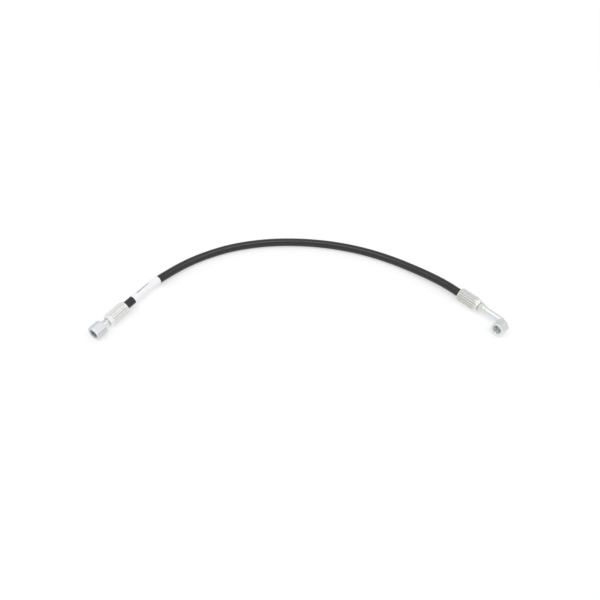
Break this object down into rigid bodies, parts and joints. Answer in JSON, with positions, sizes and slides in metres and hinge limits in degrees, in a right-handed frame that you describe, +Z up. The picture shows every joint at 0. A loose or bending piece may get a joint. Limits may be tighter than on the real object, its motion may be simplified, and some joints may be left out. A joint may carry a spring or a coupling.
{
  "type": "hydraulic hose assembly",
  "caption": "Black braided hydraulic hose with ribbed crimp shells, a straight swivel nut on one end and a short 90 degree elbow swivel on the other.",
  "frame": {"origin": "on the surface that the hose lies on, under the middle of the box of its two end fittings", "axes": "+X from the straight swivel end to the elbow end, +Y towards the crown of the hose's bow, +Z up from the surface"},
  "size_m": [0.5914, 0.2064, 0.0219],
  "materials": {
    "tube_rubber": "smooth black nitrile",
    "braid_wire": "brass-coated steel wire braid",
    "cover_rubber": "satin black, faint fabric-wrap texture",
    "label_film": "white heat-shrunk film",
    "stem_plating": "bright zinc plate",
    "shell_plating": "satin zinc plate, crimped ribs",
    "wire_steel": "drawn steel wire",
    "straight_nut_plating": "zinc plate with a blue passivate",
    "elbow_stem_plating": "zinc plate with a pale green passivate",
    "tube_plating": "bright drawn tube, zinc plate",
    "braze_metal": "plated brazed fillet",
    "elbow_nut_plating": "zinc plate with a grey green passivate"
  },
  "bodies": {
    "root": {"hose_inner_tube": "tube_rubber", "hose_wire_braid": "braid_wire", "hose_cover": "cover_rubber", "hose_label": "label_film", "straight_stem": "stem_plating", "straight_shell": "shell_plating", "elbow_stem": "elbow_stem_plating", "elbow_shell": "shell_plating", "elbow_tube": "tube_plating", "elbow_braze_ring": "braze_metal"},
    "straight_nut_wire": {"straight_nut_wire": "wire_steel"},
    "straight_nut": {"straight_nut": "straight_nut_plating"},
    "elbow_nut": {"elbow_nut": "elbow_nut_plating"}
  },
  "joints": [
    {"name": "straight_nut_slide", "type": "slide", "parent": "root", "child": "straight_nut_wire", "axis": [-0.5664, -0.8241, 0], "range_m": [-0.009, 0]},
    {"name": "straight_nut_spin", "type": "hinge", "parent": "straight_nut_wire", "child": "straight_nut", "pos_m": [-0.28259, -0.0335, 0.01095], "axis": [-0.5664, -0.8241, 0], "continuous": true},
    {"name": "elbow_nut_spin", "type": "hinge", "parent": "root", "child": "elbow_nut", "pos_m": [0.29317, -0.01915, 0.00975], "axis": [-0.716, -0.6915, 0.0958], "continuous": true}
  ]
}
